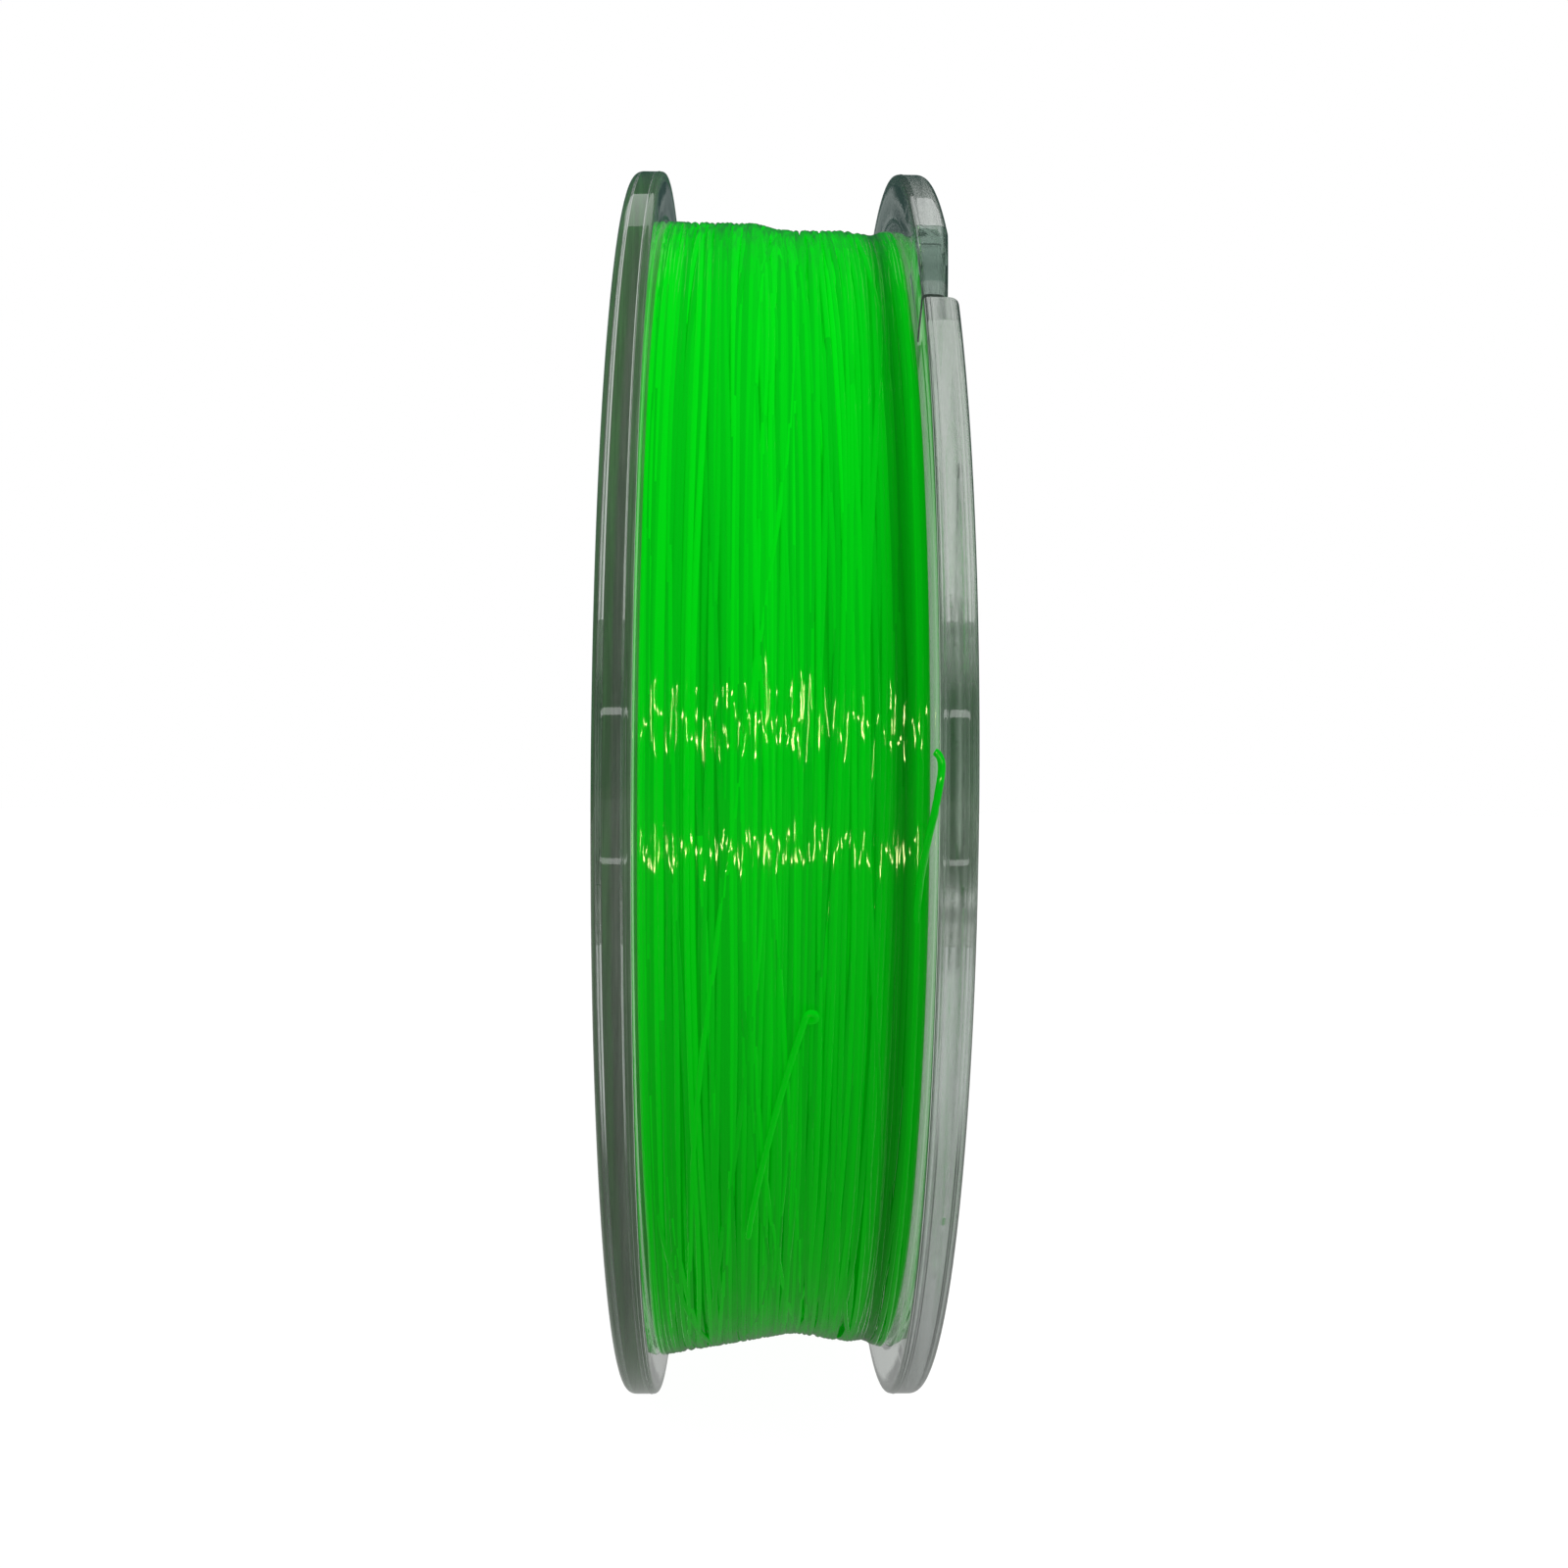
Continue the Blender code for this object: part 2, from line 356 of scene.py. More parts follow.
def clear_plastic(name, body=(0.955, 0.962, 0.962), painted_glow=0.012):
    """Clear polystyrene: polished rims, lightly scuffed webs, and a matt centre bore and tube.

    A faint streaky glow inside is painted light that keeps its edges from going black. The third argument
    is its strength.
    """
    rim_haze, web_haze, bore_haze = 0.04, 0.14, 0.60
    n = Nodes(bpy.data.materials.new(name))
    where = n.place()
    radius = n.radius(where)
    web = n.math("LESS_THAN", radius, RIM_R - RIM_BAND)
    bore = n.math("LESS_THAN", radius, TUBE_R + CAD_GAP)
    haze = n.math("MULTIPLY_ADD", web, web_haze, rim_haze)
    haze = n.math("MULTIPLY_ADD", bore, bore_haze, haze)
    scuffs = n.noise(where, 900.0, 3.0)
    # Painted shade: the centre bore and tube are tinted dark green, which darkens what is seen through the
    # middle of the rim.
    body_and_bore_shade = n.add(
        "ShaderNodeMix",
        {"Factor": bore, 6: (*body, 1.0), 7: (0.24, 0.37, 0.25, 1.0)},
        data_type="RGBA",
    )
    # Painted light: the streaks set where the faint glow inside the plastic is stronger.
    glow_streaks = n.noise(n.vector("MULTIPLY", where, (5.0, 1.0, 1.0)), 120.0, 3.0)
    glow_streaks = n.ramp(glow_streaks, [(0.38, (0.0, 0.0, 0.0)), (0.62, (1.0, 1.0, 1.0))])
    plastic = n.surface(
        Emission_Color=(0.62, 0.78, 0.66, 1.0),
        Emission_Strength=n.math("MULTIPLY", glow_streaks, painted_glow),
        Base_Color=body_and_bore_shade.outputs[2],
        Roughness=n.math("MULTIPLY", scuffs, haze),
        IOR=1.58,
        Transmission_Weight=1.0,
        Normal=n.bump(n.noise(where, 90.0, 2.0), 0.03, 0.2 * MM),
    )
    shadow = n.add("ShaderNodeBsdfTransparent", {"Color": (0.45, 0.52, 0.46, 1.0)}).outputs[0]
    path = n.add("ShaderNodeLightPath").outputs
    return n.finished(n.mix(path["Is Shadow Ray"], plastic, shadow))


def line_material(name, shade, softness=0.74, shadow=1.0):
    """Translucent fluorescent monofilament. shade scales its colour.

    The body shades softly, and it glows: painted light, whose even part stands in for the line's
    fluorescence and the light spreading inside the pack, and which grows towards the top as painted light
    from above. The polished skin, slightly wavy along the line, keeps its own highlights. softness is how
    much of the body's shading is the pack's own, and shadow how much painted shadow darkens the groove and
    the right edge.
    """
    wave_slope, wave_middle, wave_least, wave_most = 0.8, 0.19, 0.12, 0.26
    painted_glow_slope, painted_glow_middle, painted_glow_top = 0.13, 0.26, 0.09
    groove_painted_shade, edge_painted_shade = 0.52 * shadow, 0.5 * shadow
    n = Nodes(bpy.data.materials.new(name))
    where = n.place()
    outward = n.vector("NORMALIZE", n.vector("MULTIPLY", where, (0.0, 1.0, 1.0)))
    height = n.part(outward, "Z")

    own = n.add("ShaderNodeNewGeometry").outputs["Normal"]
    soft = n.add("ShaderNodeMix", {"Factor": softness, 4: own, 5: outward}, data_type="VECTOR")
    dents = n.noise(n.vector("MULTIPLY", where, (14.0, 1.0, 1.0)), 400.0, 0.0)
    waviness = n.math("MULTIPLY_ADD", height, wave_slope, wave_middle)
    waviness = n.math("MAXIMUM", n.math("MINIMUM", waviness, wave_most), wave_least)
    tilt = n.math("MULTIPLY", n.math("SUBTRACT", dents, 0.5), waviness)
    along = n.vector("CROSS_PRODUCT", outward, (1.0, 0.0, 0.0))
    tilt = n.add("ShaderNodeVectorMath", {0: along, "Scale": tilt}, operation="SCALE")
    skin = n.vector("NORMALIZE", n.vector("ADD", own, tilt.outputs[0]))

    # Painted shadow: the line's colour and glow darken over the groove and towards the right flange.
    across = n.part(where, "X")
    side = n.math("MULTIPLY_ADD", across, 1.0 / GROOVE_WIDTH, -GROOVE_X / GROOVE_WIDTH)
    groove = n.math("EXPONENT", n.math("MULTIPLY", n.math("MULTIPLY", side, side), -1.0))
    edge = n.math("MULTIPLY_ADD", across, 1.0 / EDGE_SHADE_WIDTH, -EDGE_SHADE_X / EDGE_SHADE_WIDTH)
    edge = n.math("MAXIMUM", edge, 0.0)
    light = n.math(
        "MULTIPLY",
        n.math("MULTIPLY_ADD", groove, -groove_painted_shade, 1.0),
        n.math("MULTIPLY_ADD", edge, -edge_painted_shade, 1.0),
    )
    # Painted light: the glow rises towards the top, standing in for light from above.
    upward = n.math("MAXIMUM", height, 0.0)
    glow = n.math("MULTIPLY_ADD", height, painted_glow_slope, painted_glow_middle)
    glow = n.math("MULTIPLY_ADD", n.math("MULTIPLY", upward, upward), painted_glow_top, glow)
    line = n.surface(
        Base_Color=n.ramp(light, [(0.0, (0.0, 0.0, 0.0)), (1.0, (0.0002, 0.40 * shade, 0.004))]),
        Roughness=0.5,
        Specular_IOR_Level=0.0,
        Normal=soft.outputs[1],
        Coat_Weight=1.0,
        Coat_Roughness=0.045,
        Coat_IOR=1.26,
        Coat_Normal=skin,
        Emission_Color=(0.0, 1.0 * shade, 0.010, 1.0),
        Emission_Strength=n.math("MULTIPLY", glow, light),
    )
    return n.finished(line)


def cut_face():
    """The cut end of the line. Its glow is painted light, standing in for the light the line gathers along
    its length.
    """
    n = Nodes(bpy.data.materials.new("green_line_cut"))
    face = n.surface(
        Base_Color=(0.05, 0.60, 0.10, 1.0),
        Roughness=0.4,
        Emission_Color=(0.10, 1.0, 0.30, 1.0),
        Emission_Strength=0.7,
    )
    return n.finished(face)


def label_face():
    """Coated paper label: pale centre, green band with fine rings, and a darker printed edge."""
    n = Nodes(bpy.data.materials.new("label_print"))
    where = n.place()
    rings = [
        (0.0, (0.02, 0.10, 0.05)),
        (0.33, (0.70, 0.74, 0.71)),
        (0.62, (0.03, 0.30, 0.10)),
        (0.66, (0.72, 0.75, 0.72)),
        (0.68, (0.02, 0.16, 0.07)),
        (0.93, (0.70, 0.74, 0.71)),
        (0.95, (0.02, 0.05, 0.03)),
    ]
    ink = n.ramp(n.math("DIVIDE", n.radius(where), LABEL_OUT_R), rings, "CONSTANT")
    fibre = n.noise(where, 2500.0, 4.0)
    paper = n.surface(
        Base_Color=ink,
        Roughness=n.math("MULTIPLY_ADD", fibre, 0.2, 0.3),
        Normal=n.bump(fibre, 0.15, 0.02 * MM),
        # Painted light: the label glows faintly in its own colours, which brightens it.
        Emission_Color=ink,
        Emission_Strength=0.25,
    )
    return n.finished(paper)


def label_back():
    """The label's glued back, seen through the clear flange: pale paper, whose glow is painted light for
    the light it lets through, brighter towards the top.
    """
    n = Nodes(bpy.data.materials.new("label_glue"))
    where = n.place()
    mottle = [(0.42, (0.24, 0.31, 0.24)), (0.60, (0.52, 0.55, 0.50))]
    glue = n.surface(
        Base_Color=n.ramp(n.noise(where, 160.0, 3.0), mottle),
        Roughness=0.6,
        # Painted light: a glow that grows towards the top.
        Emission_Color=(0.85, 1.0, 0.80, 1.0),
        Emission_Strength=n.math("MULTIPLY_ADD", n.part(where, "Z"), 0.5, 0.036),
    )
    return n.finished(glue)


def floor_material():
    """A white floor lit up to the backdrop's white. It throws back less light than it shows."""
    shown_level, plain_level, diffuse_extra, transmission_extra = 0.985, 0.14, 0.32, 0.48
    n = Nodes(bpy.data.materials.new("floor_white"))
    grain = [(0.0, (0.10, 0.10, 0.10)), (1.0, (0.11, 0.11, 0.11))]
    matt = n.add("ShaderNodeBsdfDiffuse", {"Color": n.ramp(n.noise(n.place(), 40.0, 2.0), grain)})
    glow = n.add("ShaderNodeEmission", {"Color": (1.0, 1.0, 1.0, 1.0), "Strength": shown_level})
    shown = n.add("ShaderNodeAddShader", {0: matt.outputs[0], 1: glow.outputs[0]})
    path = n.add("ShaderNodeLightPath").outputs
    level = n.math("MULTIPLY_ADD", path["Is Diffuse Ray"], diffuse_extra, plain_level)
    level = n.math("MULTIPLY_ADD", path["Is Transmission Ray"], transmission_extra, level)
    dim = n.add("ShaderNodeEmission", {"Color": (0.95, 1.0, 0.95, 1.0), "Strength": level})
    return n.finished(n.mix(path["Is Camera Ray"], dim.outputs[0], shown.outputs[0]))


# ---------------------------------------------------------------- flanges, hub and label

def flange_profile(side):
    """The flange's section as (x, radius) points. side is 1 for the right flange and -1 for the left."""
    in_x, out_x = RIM_IN_X, RIM_OUT_X
    spigot_x = in_x - SPIGOT_LENGTH
    outline = [
        (CAD_GAP / 2, BORE_R),
        (out_x - BORE_LEAD_IN, BORE_R),
        (out_x, BORE_R + BORE_LEAD_IN),
        (out_x, BOSS_R - STEP_DRAFT),
        (WEB_OUT_X, BOSS_R),
        (WEB_OUT_X, RIM_R - RIM_BAND),
        (out_x, RIM_R - RIM_BAND + STEP_DRAFT),
        (out_x, RIM_R, OUTER_FILLET),
        (PARTING_X + PARTING_HALF, RIM_R),
        (PARTING_X, RIM_R + PARTING_HEIGHT),
        (PARTING_X - PARTING_HALF, RIM_R),
        (in_x, RIM_R, INNER_FILLET),
        (in_x, SPIGOT_R),
        (spigot_x + STEP_DRAFT, SPIGOT_R),
        (spigot_x, SPIGOT_R - STEP_DRAFT),
        (spigot_x, SPIGOT_R - SPIGOT_WALL),
        (in_x, SPIGOT_R - SPIGOT_WALL),
        (in_x, TUBE_R),
        (CAD_GAP / 2, TUBE_R),
    ]
    return [(side * x, radius) for x, radius in rounded(outline, EDGE_ROUND)]


def hub_ribs(side):
    """Radial ribs on the flange's inner face, from the centre tube to the spigot ring."""
    bm = bmesh.new()
    sunk = 0.3 * MM
    first_r, last_r = TUBE_R - sunk, SPIGOT_R - SPIGOT_WALL + sunk
    low_x, high_x = RIM_IN_X - RIB_HEIGHT, RIM_IN_X + sunk
    size = (high_x - low_x, last_r - first_r, RIB_WALL)
    centre = Vector((side * (low_x + high_x) / 2, (first_r + last_r) / 2, 0.0))
    for index in range(RIB_COUNT):
        turn = Matrix.Rotation(math.tau * (index + 0.25) / RIB_COUNT, 4, "X")
        place = turn @ Matrix.Translation(centre) @ Matrix.Diagonal((*size, 1.0))
        bmesh.ops.create_cube(bm, size=1.0, matrix=place)
    return add_object("rib_tool", bm, None)


def clip_window():
    """The tool that cuts the clip's window out of the right rim."""
    beyond = 1.0 * MM
    low_r, high_r = RIM_R - CLIP_WIDTH - CLIP_SLIT, RIM_R + beyond
    low_x, high_x = RIM_IN_X - beyond, RIM_OUT_X + beyond
    clearance = math.degrees(CAD_GAP / RIM_R)
    first, last = CLIP_TIP_DEG - clearance, CLIP_ROOT_DEG
    sections = []
    for step in range(CLIP_STEPS + 1):
        angle = first + (last - first) * step / CLIP_STEPS
        corners = ((low_x, low_r), (high_x, low_r), (high_x, high_r), (low_x, high_r))
        sections.append([on_spool(x, radius, angle) for x, radius in corners])
    return add_object("window_tool", ring_sector(sections), None)


def build_flange(name, side, material, node):
    flange = add_object(name, turned(flange_profile(side)), material, SMOOTH_DEG)
    apply_boolean(flange, hub_ribs(side), "UNION")
    if side > 0:
        apply_boolean(flange, clip_window(), "DIFFERENCE")
    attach(flange, "spool")
    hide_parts(node)
    return flange


def clip_section(angle):
    """The clip's section. It leaves the rim's own section at the root and leans inwards to the tip."""
    share = (CLIP_ROOT_DEG - angle) / (CLIP_ROOT_DEG - CLIP_TIP_DEG)
    in_x = RIM_IN_X - share * CLIP_INNER_SET
    out_x = RIM_OUT_X - share * CLIP_OUTER_SET
    outline = [
        (in_x, RIM_R - CLIP_WIDTH),
        (out_x, RIM_R - CLIP_WIDTH),
        (out_x, RIM_R, OUTER_FILLET),
        (in_x, RIM_R, INNER_FILLET),
    ]
    return [on_spool(x, radius, angle) for x, radius in rounded(outline, EDGE_ROUND)]


def build_clip(material, tip_material):
    """The clip, from its tip to its root, where it blends from the flange's body; its tip takes the second
    material.
    """
    span = CLIP_ROOT_DEG - CLIP_TIP_DEG
    sections = [clip_section(CLIP_TIP_DEG + span * i / CLIP_STEPS) for i in range(CLIP_STEPS + 1)]
    clip = add_object("clip_tongue", ring_sector(sections), material, SMOOTH_DEG)
    clip.data.materials.append(tip_material)
    for face in clip.data.polygons:
        angle = math.degrees(math.atan2(face.center.z, -face.center.y))
        face.material_index = 1 if angle < CLIP_TIP_DEG + CLIP_PALE_DEG else 0
    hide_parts("line_clip")
    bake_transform(clip)
    return clip


def build_barrel(material):
    low, high = BARREL_LOW.x, BARREL_HIGH.x
    inside = BARREL_R - BARREL_WALL
    outline = [(low, inside), (high, inside), (high, BARREL_R), (low, BARREL_R)]
    barrel = add_object("arbor_tube", turned(rounded(outline, EDGE_ROUND)), material)
    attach(barrel, "spool")
    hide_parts("hub_barrel")
    return barrel


def build_label(face_material, back_material):
    """The label, glued to the left flange. Its back lies just inside the plastic's surface."""
    sunk = 0.02 * MM
    back_x, face_x = -WEB_OUT_X + sunk, LABEL_LOW.x
    outline = [
        (back_x, LABEL_IN_R),
        (back_x, LABEL_OUT_R),
        (face_x, LABEL_OUT_R),
        (face_x, LABEL_IN_R),
    ]
    label = add_object("label_disc", turned(outline), face_material)
    label.data.materials.append(back_material)
    for face in label.data.polygons:
        face.material_index = 1 if face.normal.x > 0.5 else 0
    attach(label, "spool")
    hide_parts("left_label")


# ---------------------------------------------------------------- wound line

def wound_radius(x, angle=0.0):
    """The pack's outer radius at this place along the axis and angle."""
    upper = TOP_R - TOP_STEP * np.tanh((x - TOP_STEP_X) / TOP_STEP_WIDTH)
    lower = DISH_R + DISH_SLOPE * np.sqrt((x - DISH_X) ** 2 + DISH_ROUND**2)
    groove = GROOVE_DEPTH * np.exp(-(((x - GROOVE_X) / GROOVE_WIDTH) ** 2))
    share = (1.0 - np.sin(angle)) / 2.0
    return upper + (lower - upper) * share - groove


def smooth_noise(rng, samples, spacing):
    """Smooth noise of unit size that changes over this many samples."""
    knots = rng.normal(0.0, 1.0, samples // spacing + 4)
    place = np.arange(samples) / spacing + 1.0
    low = place.astype(int)
    share = place - low
    ease = share * share * (3.0 - 2.0 * share)
    return knots[low] * (1.0 - ease) + knots[low + 1] * ease


def guide_path(rng, samples, limit):
    """The line's place along the axis as it winds: level winding that wanders, with a few quick skips."""
    wander = sum(size * smooth_noise(rng, samples, spacing) for size, spacing in WANDERS)
    x, direction = -limit * 0.4, 1.0
    skip_left, skip_speed, dwell = 0, 0.0, 0
    places = np.empty(samples)
    for index in range(samples):
        if dwell:
            dwell -= 1
            places[index] = x
            continue
        if skip_left == 0 and rng.random() < SKIPS_PER_TURN / TURN_SAMPLES:
            skip_left = int(rng.integers(*SKIP_SAMPLES))
            skip_speed = rng.uniform(*SKIP_SPEEDS) * rng.choice((-1.0, 1.0))
        speed = WIND_SPEED
        if skip_left:
            skip_left -= 1
            speed += skip_speed
        x += direction * speed * MM / TURN_SAMPLES
        if abs(x) > limit:
            x = math.copysign(limit, x)
            direction = -math.copysign(1.0, x)
            skip_left = 0
            dwell = TURN_SAMPLES
        places[index] = x
    return np.clip(smooth_along(places, GUIDE_EASE) + wander, -limit, limit)


def smooth_along(values, width):
    """Averages along the line with a bell-shaped window of this half width, in samples."""
    offsets = np.arange(-2 * width, 2 * width + 1)
    weights = np.exp(-0.5 * (offsets / width) ** 2)
    padded = np.pad(values, 2 * width, mode="edge")
    return np.convolve(padded, weights / weights.sum(), "valid")


def pull_tight(rest, before, passes):
    """A taut line's radius over what it rests on. It runs straight between supports, so it sags inwards."""
    sag = RIM_R * (math.tau / TURN_SAMPLES) ** 2 / 2
    radius = rest.copy()
    first = rest[0] if before is None else before
    for _ in range(passes):
        left = np.concatenate([[first], radius[:-1]])
        right = np.concatenate([radius[1:], [radius[-1]]])
        radius = np.maximum(rest, (left + right) / 2 - sag)
    return radius


class Pack:
    """A height field over angle and axis, on which turns of line are laid one after another."""

    def __init__(self):
        self.columns = np.arange(-WOUND_SIDE_X, WOUND_SIDE_X + CELL / 2, CELL)
        self.angles = SEAM_ANGLE + np.arange(TURN_SAMPLES) * math.tau / TURN_SAMPLES
        self.goal = wound_radius(self.columns[None, :], self.angles[:, None])
        self.height = self.goal - LAYER_RISE
        self.reach = int(LINE_R / CELL)
        self.rows = np.arange(TURN_SAMPLES)[:, None]

    def footprint(self, places):
        """The columns under a turn at these places, and how far the line's surface rises over each."""
        first = np.rint((places - self.columns[0]) / CELL).astype(int)
        cols = first[:, None] + np.arange(-self.reach, self.reach + 1)[None, :]
        cols = np.clip(cols, 0, len(self.columns) - 1)
        across = self.columns[cols] - places[:, None]
        rise = np.sqrt(np.clip(LINE_R**2 - across**2, 0.0, None))
        return cols, rise

    def resting(self, places):
        """The radius at which a turn at these places would lie on what is under it."""
        cols, rise = self.footprint(places)
        return (self.height[self.rows, cols] + rise).max(axis=1)

    def settle(self, places, limit):
        """Lets the turn slip sideways into the nearest groove, less so at both ends of the turn."""
        shifts = np.arange(-SLIP_CELLS, SLIP_CELLS + 1) * CELL
        costs = []
        for shift in shifts:
            moved = np.clip(places + shift, -limit, limit)
            cost = smooth_along(self.resting(moved), SLIP_LOOK) + SLIP_COST * shift**2 / MM
            costs.append(cost)
        chosen = smooth_along(shifts[np.argmin(costs, axis=0)], SLIP_EASE)
        ramp = np.minimum(np.arange(TURN_SAMPLES), np.arange(TURN_SAMPLES)[::-1])
        return np.clip(places + chosen * np.clip(ramp / SLIP_RAMP, 0.0, 1.0), -limit, limit)

    def lay(self, places, before):
        """Lays one turn on the pack, squeezed towards the pack's shape, and returns its radius."""
        cols, rise = self.footprint(places)
        rest = (self.height[self.rows, cols] + rise).max(axis=1)
        goal = self.goal[self.rows[:, 0], cols[:, self.reach]] - LINE_R
        rest = np.where(rest > goal, goal + (rest - goal) * SQUEEZE, rest)
        radius = pull_tight(rest, before, TURN_PASSES)
        radius = np.maximum(radius, smooth_along(radius, TURN_EASE))
        top = radius[:, None] + rise
        np.maximum.at(self.height, (np.broadcast_to(self.rows, cols.shape), cols), top)
        return radius


def wind_line():
    """Lays all the turns, and returns the points of those near the surface as one path."""
    rng = np.random.default_rng(SEED)
    limit = WOUND_SIDE_X - LINE_R
    guide = guide_path(rng, TURNS * TURN_SAMPLES, limit)
    pack = Pack()
    places, radii = [], []
    before = None
    for turn in range(TURNS):
        path = pack.settle(guide[turn * TURN_SAMPLES:(turn + 1) * TURN_SAMPLES], limit)
        radius = pack.lay(path, before)
        before = radius[-1]
        places.append(path)
        radii.append(radius)
    places = np.concatenate(places[HIDDEN_TURNS:])
    radii = pull_tight(np.concatenate(radii[HIDDEN_TURNS:]), None, PATH_PASSES)
    angle = SEAM_ANGLE + np.arange(len(places)) * math.tau / TURN_SAMPLES
    return np.stack([places, -radii * np.cos(angle), radii * np.sin(angle)], axis=1)


def tube_rings(points, sides):
    """Vertex positions of the round line along points, as (points, sides, 3)."""
    ahead = np.gradient(points, axis=0)
    along = ahead / np.linalg.norm(ahead, axis=1)[:, None]
    outward = points * np.array([0.0, 1.0, 1.0])
    outward /= np.linalg.norm(outward, axis=1)[:, None]
    across = np.cross(along, outward)
    across /= np.linalg.norm(across, axis=1)[:, None]
    up = np.cross(across, along)
    turn = np.arange(sides) * math.tau / sides
    ring = (
        np.cos(turn)[None, :, None] * across[:, None, :]
        + np.sin(turn)[None, :, None] * up[:, None, :]
    )
    return points[:, None, :] + LINE_R * ring


def tube_object(name, points, sides, materials, slots, samples_per_strip):
    """A stretch of line along points with closed ends. Its map lies in strips, one above the other.

    slots holds each sample's material slot, or is None for one material.
    """
    rings = tube_rings(points, sides)
    count = len(points)
    row = np.arange(count - 1)[:, None] * sides
    side = np.arange(sides)[None, :]
    after = (side + 1) % sides
    quads = np.stack([row + side, row + after, row + sides + after, row + sides + side], axis=-1)
    quads = quads.reshape(-1, 4)
    mesh = bpy.data.meshes.new(name)
    last = (count - 1) * sides
    caps = [list(range(sides))[::-1], list(range(last, last + sides))]
    mesh.vertices.add(count * sides)
    mesh.vertices.foreach_set("co", rings.ravel().astype(np.float32))
    loops = np.concatenate([quads.ravel(), caps[0], caps[1]]).astype(np.int32)
    mesh.loops.add(len(loops))
    mesh.loops.foreach_set("vertex_index", loops)
    starts = np.concatenate([np.arange(len(quads)) * 4, [len(quads) * 4, len(quads) * 4 + sides]])
    mesh.polygons.add(len(quads) + 2)
    mesh.polygons.foreach_set("loop_start", starts.astype(np.int32))
    for material in materials:
        mesh.materials.append(material)
    if slots is not None:
        per_face = np.repeat(slots[: count - 1], sides)
        per_face = np.concatenate([per_face, [per_face[0], per_face[-1]]])
        mesh.polygons.foreach_set("material_index", per_face.astype(np.int32))
    mesh.update(calc_edges=True)
    add_strip_map(mesh, count, sides, samples_per_strip)
    mesh.shade_smooth()
    obj = bpy.data.objects.new(name, mesh)
    bpy.context.scene.collection.objects.link(obj)
    return obj


def add_strip_map(mesh, count, sides, samples_per_strip):
    """Lays the line's skin out flat: each stretch of it is one strip across the map."""
    strips = math.ceil((count - 1) / samples_per_strip)
    index = np.arange(count - 1)
    strip = index // samples_per_strip
    start = (index % samples_per_strip) / samples_per_strip
    end = start + 1.0 / samples_per_strip
    margin = 0.04
    used = 1.0 - 2.0 * margin
    low = (strip[:, None] + margin + used * np.arange(sides)[None, :] / sides) / strips
    high = low + used / sides / strips
    start = np.broadcast_to(start[:, None], low.shape)
    end = np.broadcast_to(end[:, None], low.shape)
    corners = [(start, low), (start, high), (end, high), (end, low)]
    quads = np.stack([np.stack([u, v], axis=-1) for u, v in corners], axis=2).reshape(-1, 2)
    flat = np.concatenate([quads, np.full((2 * sides, 2), 0.5 / strips)])
    layer = mesh.uv_layers.new(name="OFBake")
    layer.data.foreach_set("uv", flat.ravel().astype(np.float32))


def build_wound_line(materials):
    """The surface turns of the line, as two continuous runs. The material changes about once a turn."""
    rng = np.random.default_rng(SEED + 1)
    path = wind_line()[::DRAWN_STEP]
    per_turn = TURN_SAMPLES // DRAWN_STEP
    stretches = rng.integers(0, len(materials), len(path) // per_turn + 2)
    offset = rng.integers(0, per_turn, len(stretches))
    index = np.arange(len(path))
    turn = index // per_turn
    turn = turn + (index % per_turn > offset[turn])
    slots = stretches[turn]
    size = len(path) // STRAND_PIECES
    objects = []
    for piece in range(STRAND_PIECES):
        part = slice(piece * size, (piece + 1) * size + 1)
        name = f"wound_strands_{piece + 1}"
        strands = tube_object(name, path[part], STRAND_SIDES, materials, slots[part], per_turn)
        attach(strands, "spool")
        objects.append(strands)
    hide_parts("wound_line")
    return objects


def build_core(material):
    """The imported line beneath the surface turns, with the ridges of its stacked turns at both ends."""
    end = WOUND_SIDE_X - 1.2 * LINE_R
    first_r = BARREL_R + 0.05 * MM
    pitch = 2 * LINE_R
    rows = int((float(wound_radius(end)) - LAYER_RISE - first_r) / pitch)
    steps_per_row = 4
    outline = [(end, first_r)]
    for row in range(rows):
        for step in range(1, steps_per_row + 1):
            share = step / steps_per_row
            bulge = 1.1 * LINE_R * math.sin(math.pi * share)
            outline.append((end + bulge, first_r + (row + share) * pitch))
    mirrored = [(-x, radius) for x, radius in reversed(outline)]
    turns = [step * math.tau / CORE_STEPS for step in range(CORE_STEPS)]
    top = []
    for step in range(1, CORE_STEPS):
        x = end * (1 - 2 * step / CORE_STEPS)
        lowest = min(float(wound_radius(x, angle)) for angle in turns)
        top.append((x, lowest - CORE_DEPTH))
    core = add_object("wound_core", turned(outline + top + mirrored), material, CORE_SMOOTH_DEG)
    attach(core, "spool")
    return core


def surface_point(x, angle, lift):
    """The centre of a line that lies on the pack, a little sunk between its turns and raised by lift."""
    return on_spool(x, float(wound_radius(x, angle)) + 0.7 * LINE_R + lift, math.degrees(angle))


